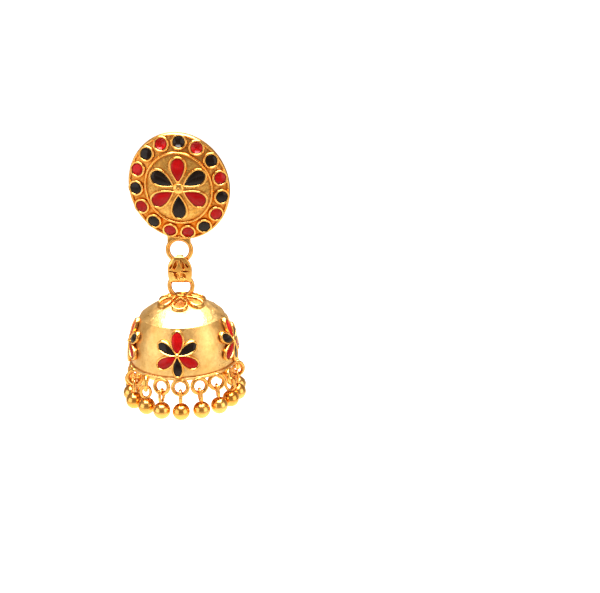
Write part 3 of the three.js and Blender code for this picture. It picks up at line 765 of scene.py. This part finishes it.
def stud_body():
    """The plate with its sloping border and domed middle."""
    profile = [(0, 0)]
    profile += [(STUD_R - inset, up) for inset, up in STUD_BACK_EDGE]
    profile += [(STUD_R, stud_level(STUD_R)[1] - EDGE_BEVEL)]
    profile += [stud_level(r) for r in np.linspace(STUD_R - EDGE_BEVEL, BORDER_INNER + CREASE_STEP, 22)]
    profile += [stud_level(r) for r in np.linspace(BORDER_INNER - CREASE_STEP, DOME_START, 40)]
    profile += [stud_level(0)]
    points, faces = lathe(profile, STUD_SIDES)
    points = points * [1, OVAL, 1]
    radius = np.hypot(points[:, 0], points[:, 1] / OVAL)
    points = points @ np.array(Matrix.Rotation(LEAN, 3, "Z")).T
    return points, faces, stud_shade(points, radius)


def oval_wire(radius, width, height):
    """A round-topped wire along the oval at that radius."""
    path = np.array([on_oval(radius, turn) for turn in turns(OVAL_WIRE_STEPS)])
    return (*sweep(on_stud(path, 0.0), (0, 0, 1), oval_section(width / 2, height, 16)), 0.0)


def stud_piece(name, parts, material=POLISHED):
    """A gold piece that stands for a share of the stud's plate."""
    piece(name, parts, material, "stud", ["stud_plate"])


def stud_metal():
    """The plate, its wires, the round cells with their floors, and the petals' walls."""
    stud_piece("stud_body", [put(stud_body(), STUD)], DOME)
    rim = oval_wire(STUD_R - WIRE / 2, WIRE, RIM_WIRE_HEIGHT)
    inner = oval_wire(BORDER_INNER - WIRE / 2, WIRE, INNER_WIRE_HEIGHT)
    stud_piece("stud_wires", [put(rim, STUD), put(inner, STUD)])
    places = [STUD @ cell_place(i) for i in range(len(CELL_COLOURS))]
    wall = collar(lambda inset: circle(CELL_DIAMETER - 2 * inset), CELL_WALL, WALL_ROOT, CELL_HEIGHT, flat)
    floor = capped([flat(circle(CELL_FLOOR), CELL_FLOOR_ROOT), flat(circle(CELL_FLOOR), 0.0)])
    walls = [put(wall, place) for place in places]
    # The cell floors, under the enamel, get full painted shade
    floors = [put((*floor, 1.0), place) for place in places]
    stud_piece("stud_cells", walls + floors)
    flower = []
    for angle, _ in STUD_PETALS:
        flower.append(put(collar(petal_outline(angle), CELL_WALL, WALL_ROOT, CELL_HEIGHT, on_stud), STUD))
    stud_piece("stud_flower", flower)


def stud_boss():
    """A round boss with a dimple in its top."""
    base = STUD_EDGE + BORDER_RISE + DOME_RISE
    top = base + BOSS_HEIGHT
    half = BOSS_DIAMETER / 2
    profile = [(0, base + WALL_ROOT), (half, base + WALL_ROOT)]
    for turn in np.linspace(0, math.pi / 2, 14)[:-2]:
        up = BOSS_SHOULDER + (1 - BOSS_SHOULDER) * math.sin(turn)
        profile.append((half * math.cos(turn), base + BOSS_HEIGHT * up))
    profile += [(radius, top + down) for radius, down in BOSS_DIMPLE]
    points, faces = lathe(profile, ROUND_SIDES)
    # Painted shade in the boss's dimple
    painted_shade = np.where(np.hypot(points[:, 0], points[:, 1]) < DIMPLE_RADIUS, DIMPLE_SHADE, 0.0)
    stud_piece("stud_boss", [put((points, faces, painted_shade), STUD)])


def stud_enamels():
    """The enamel in the round cells and in the petals."""
    inside = circle(CELL_DIAMETER - 2 * CELL_WALL - 2 * ENAMEL_GAP)
    plain = fill(inside, 0.0, ENAMEL_EDGE, ENAMEL_CROWN, flat)
    dished = fill(inside, 0.0, DISHED_EDGE, DISHED_CROWN, flat)
    for i, colour in enumerate(CELL_COLOURS):
        material, slot = ENAMELS[colour]
        dot = put(dished if i in DISHED_CELLS else plain, STUD @ cell_place(i))
        piece(f"enamel_dot_{i + 1:02d}", [dot], material, "stud", [f"stud_dot_{i + 1:02d}"])
    for i, (angle, colour) in enumerate(STUD_PETALS):
        material, slot = ENAMELS[colour]
        outline = leaf(PETAL_START, PETAL_END, PETAL_WIDTH, angle)
        petal = put(fill(outline, 0.0, ENAMEL_EDGE, PETAL_CROWN, on_stud), STUD)
        piece(f"enamel_petal_{i + 1}", [petal], material, "stud", [f"stud_petal_{i + 1}"])


def hang_ring(name, height, body, node):
    """A ring that faces forward, with painted shade all over it and more round its hole."""
    place = Matrix.Translation((0, HANG_Y, height)) @ UPRIGHT
    points, faces = torus(RING_R, RING_WIRE / 2, RING_WIRE / 2)
    hole = np.hypot(points[:, 0], points[:, 1])
    painted_shade = RING_SHADE + RING_HOLE_SHADE * np.clip((RING_R - hole) / (RING_WIRE / 2), 0, 1)
    piece(name, [put((points, faces, painted_shade), place)], POLISHED, body, [node])


def stud_tab():
    """The cast tab between the stud and its ring, with an arch that follows the ring's wire."""
    arch = np.linspace(0, math.pi, 33)
    layers = [
        (TAB_BEVEL, 0.0),
        (0.0, TAB_BEVEL_DEPTH),
        (0.0, TAB_THICKNESS - TAB_BEVEL_DEPTH),
        (TAB_BEVEL, TAB_THICKNESS),
    ]
    rings = []
    for inset, depth in layers:
        half = TAB_WIDTH / 2 - inset
        up = RING_DROP + TAB_BEHIND_STUD - inset
        reach = RING_R - TAB_INTO_RING + inset / 2
        inner = np.stack([reach * np.cos(arch), reach * np.sin(arch)], 1)
        left = [(-half - TAB_FLARE, TAB_FOOT), (-half, TAB_SHOULDER), (-half, up)]
        right = [(half, up), (half, TAB_SHOULDER), (half + TAB_FLARE, TAB_FOOT)]
        rings.append(flat(np.vstack([inner, left, right]), depth))
    points, faces = skin(rings)
    count = len(rings[0])
    front = len(points) - count
    faces += [list(range(count))[::-1], list(range(front, len(points)))]
    place = STUD @ Matrix.Translation((-STUD_ASIDE, -REACH_DOWN - RING_DROP, 0))
    # The tab is painted with a faint even shade
    stud_piece("stud_tab", [put((points, faces, TAB_SHADE), place)])


def ear_post():
    """A straight pin with a round tip."""
    foot = -LOBE_TO_STUD - POST_SOCKET_REACH
    tip = -LOBE_TO_STUD + POST_LENGTH
    shoulder = tip - POST_TIP
    profile = [(0, foot), (POST_RADIUS, foot), (POST_RADIUS, shoulder)]
    for turn in np.linspace(0.15, 1.45, 8):
        profile.append((POST_RADIUS * math.cos(turn), shoulder + POST_TIP * math.sin(turn)))
    profile += [(0, tip)]
    pin = put((*lathe(profile, POST_SIDES), 0.0), Matrix.Rotation(-math.pi / 2, 4, "X"))
    piece("post_pin", [pin], POLISHED, "stud", ["ear_post"])


# Hook link


def link_strap():
    """The closed strap round both rings' wires."""
    half = RING_WIRE / 2 + RING_SIDE_ROOM + LINK_STRAP / 2
    straight = LINK_INSIDE / 2 + LINK_STRAP / 2 - half
    arc = np.linspace(0, math.pi, 17)
    bend = np.stack([half * np.cos(arc), straight + half * np.sin(arc)], 1)
    path = refined(np.vstack([bend, -bend]), lambda length: max(1, int(length / STRAP_STEP)))
    middle = (LINK_TOP_Z + LINK_BOTTOM_Z) / 2
    path = np.column_stack([np.zeros(len(path)), HANG_Y + path[:, 0], middle + path[:, 1]])
    section = oval_section(LINK_STRAP / 2, LINK_STRAP_WIDTH / 2, 28, STRAP_SQUARENESS)
    # The strap is painted with an even shade
    return (*sweep(path, (1, 0, 0), section), STRAP_SHADE)


def groove_cut(ring, size):
    """How deep the grooves cut at each point of the ring, from 0 to 1."""
    cut = np.zeros(len(ring))
    for start, end, wide in GROOVES:
        a = np.array(start) * size
        run = np.array(end) * size - a
        along = np.clip(((ring - a) @ run) / (run @ run), 0, 1)
        off = np.linalg.norm(ring - (a + np.outer(along, run)), axis=1) / (wide * LINK_FACE_WIDTH)
        bow = np.sin(math.pi * np.clip(along * (1 - 2 * GROOVE_END) + GROOVE_END, 0, 1))
        taper = GROOVE_TAPER + (1 - GROOVE_TAPER) * bow
        cut = np.maximum(cut, np.clip(GROOVE_FLOOR - off / taper, 0, 1))
    return cut * cut * (3 - 2 * cut)


def link_face(high):
    """The bulging carved face, shaped flat."""
    size = np.array([LINK_FACE_WIDTH, high])
    side = np.array(FACE_SIDE) * size
    outline = refined(np.vstack([side * [-1, 1], side[::-1]]), lambda length: FACE_SIDE_PARTS)
    for _ in range(FACE_SMOOTHINGS):
        outline = (np.roll(outline, 1, 0) + outline * 2 + np.roll(outline, -1, 0)) / 4
    centre = np.array([0, high * FACE_MIDDLE])
    rings, shades = [], []
    for share, height, shade in FACE_BACK:
        rings.append(flat(shrunk(outline, share, centre), height))
        shades.append(np.full(len(outline), shade))
    for share in np.concatenate([[0.97, 0.93], np.linspace(0.9, 0.03, 40)]):
        ring = shrunk(outline, share, centre)
        height = LINK_EDGE + LINK_FACE_BULGE * (1 - share**2) ** FACE_ROUNDNESS
        cut = groove_cut(ring, size)
        rings.append(np.column_stack([ring, height - GROOVE_DEPTH * cut]))
        # Painted shade in the carved grooves, deeper where they cut deeper
        shades.append(np.clip(cut * GROOVE_SHADE, 0, 1))
    return (*capped(rings), np.append(np.concatenate(shades), [0, 0]))


def hook_link():
    """The link's carved face and its strap."""
    high = LINK_INSIDE + 2 * LINK_STRAP
    front = HANG_Y - RING_WIRE / 2 - RING_SIDE_ROOM
    place = Matrix.Translation((0, front, LINK_TOP_Z + LINK_STRAP - high)) @ UPRIGHT
    piece("link_face", [put(link_face(high), place)], POLISHED, "link", ["hook_link"])
    piece("link_strap", [wound(link_strap())], POLISHED, "link", ["hook_link"])


# Bell


def band_radius(z):
    down = np.clip((RIDGE_Z - z) / BAND_HEIGHT, 0, 1)
    return RIDGE_R + (BAND_R - RIDGE_R) * (1 - (1 - down) ** BAND_SWELL)


def shell_radius(z):
    z = np.asarray(z, float)
    crown = RIDGE_R * np.sqrt(np.clip((CROWN_Z - z) / CROWN_DROP, 0, None))
    return np.where(z > RIDGE_Z, crown, band_radius(z))


def on_crown(points, height):
    low = CROWN_Z - CROWN_DROP * (points[:, 0] ** 2 + points[:, 1] ** 2) / RIDGE_R**2
    return np.column_stack([points, low + height])


def shell_shade(points):
    """Painted shade above the rolled rim, round the bell's ring and inside."""
    painted_shade = np.zeros(len(points))
    z = points[:, 2]
    radius = np.hypot(points[:, 0], points[:, 1])
    outside = radius > shell_radius(z) - SURFACE_SLACK
    seam = np.abs(z - (RIM_Z + RIM_ROLL + ROLL_SINK)) < SHELL_SEAM_REACH
    painted_shade[outside & seam] = SHELL_SEAM_SHADE
    painted_shade[~outside & (z > RIM_Z + SHELL_RIM_BRIGHT)] = SHELL_INSIDE_SHADE
    painted_shade[outside & (z > CROWN_Z - SHELL_TOP_REACH)] = SHELL_TOP_SHADE
    return painted_shade


def bell_shell():
    """The shell: down its outside, round the rolled rim and up its inside."""
    profile = [(RIDGE_R * s, CROWN_Z - CROWN_DROP * s * s) for s in np.linspace(0.0, 1.0, 34)]
    for s in np.linspace(0.02, 1 - (RIM_ROLL + ROLL_SEAM) / BAND_HEIGHT, 40):
        z = RIDGE_Z - BAND_HEIGHT * s
        profile.append((float(band_radius(z)), z))
    for turn in np.linspace(math.pi / 2, -math.pi / 2, 15):
        out = BAND_R - ROLL_SINK + (RIM_ROLL_OUT + ROLL_SINK) * math.cos(turn)
        profile.append((out, RIM_Z + RIM_ROLL / 2 * (1 + math.sin(turn))))
    profile += [(BAND_R - BELL_WALL, RIM_Z), (BAND_R - BELL_WALL - EDGE_BEVEL, RIM_Z + RIM_STEP)]
    for s in np.linspace(0.95, 0.0, 24):
        z = RIDGE_Z - BAND_HEIGHT * s
        profile.append((float(band_radius(z)) - BELL_WALL, z - BELL_WALL * (1 - s)))
    for s in np.linspace(0.96, 0.0, 16):
        profile.append(((RIDGE_R - BELL_WALL) * s, CROWN_Z - CROWN_DROP * s * s - BELL_WALL))
    points, faces = lathe(profile, BELL_SIDES)
    return points, faces, shell_shade(points)


def cap_outline(angle):
    """The outline of a crown petal's wall, as a function of how far it is set in."""

    def outline(inset):
        return leaf(CAP_PETAL_START + inset, CAP_PETAL_END - inset, CAP_PETAL_WIDTH - 2 * inset, angle)

    return outline


def drop_azimuth(index):
    return math.radians(180 + DROP_START + 360 * index / DROP_COUNT)


def drop_turn(index):
    return math.radians(RIM_RING_TURNS.get(index, 0))


def drop_place(index):
    """The frame of a rim ring at the rim's edge: z up, and y outward if the ring isn't turned."""
    azimuth = Matrix.Rotation(drop_azimuth(index), 4, "Z")
    lean = Matrix.Rotation(math.radians(RIM_RING_LEAN), 4, "X")
    turn = Matrix.Rotation(drop_turn(index), 4, "Z")
    return azimuth @ Matrix.Translation((0, BAND_R, RIM_Z)) @ lean @ turn


def rim_ring(index):
    """A ring under the rim, with painted shade round its hole."""
    points, faces = torus(RIM_RING_R, RIM_RING_WIRE / 2, RIM_RING_DEPTH / 2, ROUND_SIDES, 18)
    hole = np.hypot(points[:, 0], points[:, 1])
    inward = (RIM_RING_R - hole) / (RIM_RING_WIRE / 2)
    painted_shade = RIM_RING_SHADE * np.clip(inward + RIM_RING_SHADE_START, 0, 1)
    down = Matrix.Translation((0, 0, -RIM_RING_DOWN))
    return put((points, faces, painted_shade), BELL @ drop_place(index) @ down @ UPRIGHT)


def bell():
    """The shell with its ring, the flower on its crown and the rings under its rim."""
    piece("bell_shell", [put(bell_shell(), BELL)], SATIN, "bell", ["bell"], SHELL_CREASE)
    hang_ring("bell_ring", BELL_RING_Z, "bell", "bell")
    petals, floors = [], []
    for i in range(CAP_PETALS):
        outline = cap_outline(360 / CAP_PETALS * i - 90)
        petals.append(put(collar(outline, CAP_WALL, WALL_ROOT, CAP_HEIGHT, on_crown), BELL))
        points, faces, _ = fill(outline(CAP_FLOOR_INSET), CAP_FLOOR_ROOT, CAP_FLOOR, 0.0, on_crown)
        # The crown petals' floors are painted with shade
        floors.append(put((points, faces, CAP_FLOOR_SHADE), BELL))
    piece("bell_cap_flower", petals, POLISHED, "bell", ["bell"])
    piece("bell_cap_floors", floors, SATIN, "bell", ["bell"])
    rings = [rim_ring(i) for i in range(DROP_COUNT)]
    piece("bell_rim_rings", rings, POLISHED, "bell", ["bell"])


def flower_outline(angle, end, width):
    """The outline of a band flower's petal, as a function of how far it is set in."""

    def outline(inset):
        grow = FLOWER_WALL - inset
        return leaf(
            FLOWER_START + FLOWER_START_STEP * inset / FLOWER_WALL,
            end * FLOWER_REACH + grow,
            width * FLOWER_REACH + 2 * grow,
            angle,
            FULL_PETAL_FULLNESS,
            FULL_PETAL_WIDEST,
            FULL_PETAL_POINTS,
        )

    return outline


def band_flower(name, azimuth):
    """A flower that lies along the band: its gold, and its red and its black enamel."""
    centre_z = RIDGE_Z - FLOWER_BELOW_RIDGE
    centre_r = float(shell_radius(centre_z))

    def on_band(points, height):
        z = centre_z + points[:, 1]
        radius = shell_radius(z) + FLOWER_GAP + height
        turn = math.radians(azimuth - 90) + points[:, 0] / centre_r
        return np.column_stack([radius * np.cos(turn), radius * np.sin(turn) + HANG_Y, z])

    metal, enamels = [], {"r": [], "b": []}
    for angle, end, width, colour in BAND_PETALS:
        outline = flower_outline(angle, end, width)
        metal.append(wound(collar(outline, FLOWER_RIM, 0.0, FLOWER_THICKNESS, on_band)))
        inner = outline(FLOWER_RIM * FLOWER_ENAMEL_OVERLAP)
        edge = FLOWER_THICKNESS - FLOWER_ENAMEL_SINK
        enamels[colour].append(wound(fill(inner, FLOWER_ENAMEL_ROOT, edge, ENAMEL_CROWN, on_band)))
    boss_rise = FLOWER_THICKNESS + FLOWER_BOSS_PROUD - FLOWER_BOSS_SHOULDER
    steps = [(FLOWER_BOSS_RADIUS, 0.0), (FLOWER_BOSS_RADIUS, FLOWER_BOSS_SHOULDER)]
    for turn in np.linspace(0.15, 1.5, 12):
        height = FLOWER_BOSS_SHOULDER + boss_rise * math.sin(turn)
        steps.append((FLOWER_BOSS_RADIUS * math.cos(turn), height))
    boss = capped([on_band(circle(2 * radius), height) for radius, height in steps])
    metal.append(wound((*boss, 0.0)))
    node = f"band_flower_{name}"
    piece(f"flower_gold_{name}", metal, POLISHED, "bell", [node])
    for colour, parts in enamels.items():
        material, slot = ENAMELS[colour]
        piece(f"flower_{slot}_{name}", parts, material, "bell", [node])


def ball():
    """A round ball with painted shade on its top."""
    radius = BALL_DIAMETER / 2
    turn = np.linspace(-math.pi / 2, math.pi / 2, 25)
    points, faces = lathe([(radius * math.cos(t), radius * math.sin(t)) for t in turn], ROUND_SIDES)
    above = (points[:, 2] / radius - BALL_SHADE_START) / (1 - BALL_SHADE_START)
    return points, faces, np.clip(above, 0, 1) * BALL_SHADE


def wire_eye():
    """The upright oval loop on a ball."""
    inside = RIM_RING_DEPTH + 2 * EYE_SIDE_ROOM
    stretch = (EYE_INSIDE_LENGTH + EYE_WIRE) / (inside + EYE_WIRE)
    # The eye is painted with a faint even shade
    return (*torus((inside + EYE_WIRE) / 2, EYE_WIRE / 2, EYE_WIRE / 2, ROUND_SIDES, 14, stretch), EYE_SHADE)


def drop(index):
    """A ball and its eye, hung over the lower wire of a rim ring."""
    hook = drop_place(index) @ Vector((0, 0, -RIM_RING_DOWN - RIM_RING_R))
    azimuth = Matrix.Rotation(drop_azimuth(index) + drop_turn(index), 4, "Z")
    sway = Matrix.Rotation(math.radians(DROP_SWAY * math.sin(7 * index)), 4, "Y")
    hang = Matrix.Translation((hook.x, hook.y + HANG_Y, hook.z)) @ azimuth @ sway
    eye_top = RIM_RING_WIRE / 2 + EYE_SEAT_ROOM
    ball_z = eye_top - EYE_INSIDE_LENGTH - EYE_WIRE + EYE_ROOT - BALL_DIAMETER / 2
    ball_place = hang @ Matrix.Translation((0, 0, ball_z))
    sideways = Matrix.Rotation(math.pi / 2, 4, "Z") @ UPRIGHT
    eye_place = hang @ Matrix.Translation((0, 0, eye_top - EYE_INSIDE_LENGTH / 2)) @ sideways
    parts = [put(ball(), ball_place), put(wire_eye(), eye_place)]
    piece(f"ball_drop_{index + 1:02d}", parts, POLISHED, "bell", [f"drop_{index + 1:02d}"])


# Floor, light and camera, in metres

WARM_WHITE = (1.0, 1.0, 0.985, 1)
FLOOR_PALE = (0.52, 0.48, 0.41)
FLOOR_PALER = (0.57, 0.53, 0.46)
FLOOR_RADIUS = 6
FLOOR_LEVEL = -0.2
FLOOR_SIDES = 96

# Colours of the surroundings as the metal sees them, from straight below to straight above
STUDIO_STOPS = [
    (0.0, (1.0, 0.99, 0.96)),
    (0.5, (0.8, 0.76, 0.7)),
    (0.54, (0.36, 0.26, 0.17)),
    (0.74, (0.34, 0.25, 0.17)),
    (0.92, (0.55, 0.47, 0.4)),
    (1.0, (0.7, 0.66, 0.62)),
]

CAMERA_PLACE = (0.0211, -0.17045, 0.03796)
CAMERA_TILT = 19.72              # degrees below level
LENS = 60.0                      # in millimetres, like the sensor's width
SENSOR_WIDTH = 36.0
NEAREST = 0.001                  # nothing closer to the camera is seen


def floor():
    """A pale floor that looks plain white to the camera."""
    ring = np.column_stack([circle(2 * FLOOR_RADIUS, FLOOR_SIDES), np.full(FLOOR_SIDES, FLOOR_LEVEL)])
    mesh = bpy.data.meshes.new("floor")
    mesh.from_pydata(ring, [], [list(range(FLOOR_SIDES))])
    m = Nodes("pale_floor")
    m.drive(m.mix(m.ranged(m.noise(9.0), 0.0, 1.0), FLOOR_PALE, FLOOR_PALER), "Base Color")
    m.set("Roughness", 0.8)
    m.set("Emission Color", WARM_WHITE)
    m.drive(m.add("ShaderNodeLightPath").outputs["Is Camera Ray"], "Emission Strength")
    mesh.materials.append(m.mat)
    obj = bpy.data.objects.new("floor", mesh)
    bpy.context.scene.collection.objects.link(obj)


def softbox(name, place, aim, size, power, colour=(1, 1, 1), spread=180):
    """A rectangular light. Its power is in watts, and a spread under 180 degrees narrows its beam."""
    light = bpy.data.lights.new(name, "AREA")
    light.shape = "RECTANGLE"
    light.size = size[0]
    light.size_y = size[1]
    light.energy = power
    light.color = colour
    light.spread = math.radians(spread)
    obj = bpy.data.objects.new(name, light)
    obj.location = place
    obj.rotation_euler = (Vector(aim) - Vector(place)).to_track_quat("-Z", "Y").to_euler()
    bpy.context.scene.collection.objects.link(obj)


def world():
    """A studio seen in the metal: white below, darker above the horizon and paler overhead.

    The camera itself sees plain white.
    """
    studio = bpy.data.worlds.new("studio")
    bpy.context.scene.world = studio
    studio.use_nodes = True
    tree = studio.node_tree
    where = tree.nodes.new("ShaderNodeTexCoord")
    split = tree.nodes.new("ShaderNodeSeparateXYZ")
    tree.links.new(where.outputs["Generated"], split.inputs[0])
    ramp = tree.nodes.new("ShaderNodeValToRGB")
    elements = ramp.color_ramp.elements
    for position, _ in STUDIO_STOPS[1:-1]:
        elements.new(position)
    for element, (position, colour) in zip(elements, STUDIO_STOPS):
        element.position = position
        element.color = (*colour, 1)
    height = tree.nodes.new("ShaderNodeMapRange")
    height.inputs["From Min"].default_value = -1.0
    tree.links.new(split.outputs["Z"], height.inputs["Value"])
    tree.links.new(height.outputs["Result"], ramp.inputs["Fac"])
    plain = tree.nodes.new("ShaderNodeMix")
    plain.data_type = "RGBA"
    plain.inputs[MIX_B].default_value = WARM_WHITE
    seen = tree.nodes.new("ShaderNodeLightPath").outputs["Is Camera Ray"]
    tree.links.new(seen, plain.inputs[MIX_FACTOR])
    tree.links.new(ramp.outputs["Color"], plain.inputs[MIX_A])
    tree.links.new(plain.outputs[MIX_RESULT], tree.nodes["Background"].inputs["Color"])


def camera():
    lens = bpy.data.cameras.new("camera")
    lens.lens = LENS
    lens.sensor_width = SENSOR_WIDTH
    lens.clip_start = NEAREST
    view = bpy.data.objects.new("camera", lens)
    view.location = CAMERA_PLACE
    view.rotation_euler = (math.radians(90 - CAMERA_TILT), 0, 0)
    bpy.context.scene.collection.objects.link(view)
    bpy.context.scene.camera = view
    bpy.context.scene.view_settings.view_transform = "Standard"


stud_metal()
stud_boss()
stud_enamels()
hang_ring("stud_ring", STUD_RING_Z, "stud", "stud_plate")
stud_tab()
ear_post()
hook_link()
bell()
for flower_name, flower_azimuth in FLOWERS:
    band_flower(flower_name, flower_azimuth)
for drop_index in range(DROP_COUNT):
    drop(drop_index)

floor()
world()
softbox(
    "top_softbox",
    place=(0.0, 0.08, 0.55),
    aim=(0.0, 0.0, -0.03),
    size=(0.52, 0.8),
    power=7.0,
    spread=100,
)
softbox(
    "left_softbox",
    place=(-0.75, -0.5, 0.1),
    aim=(0.0, 0.0, -0.02),
    size=(0.9, 0.9),
    power=3.2,
)
softbox(
    "right_softbox",
    place=(0.8, -0.4, 0.15),
    aim=(0.0, 0.0, -0.02),
    size=(0.8, 0.8),
    power=3.0,
    colour=(1.0, 0.96, 0.9),
)
camera()
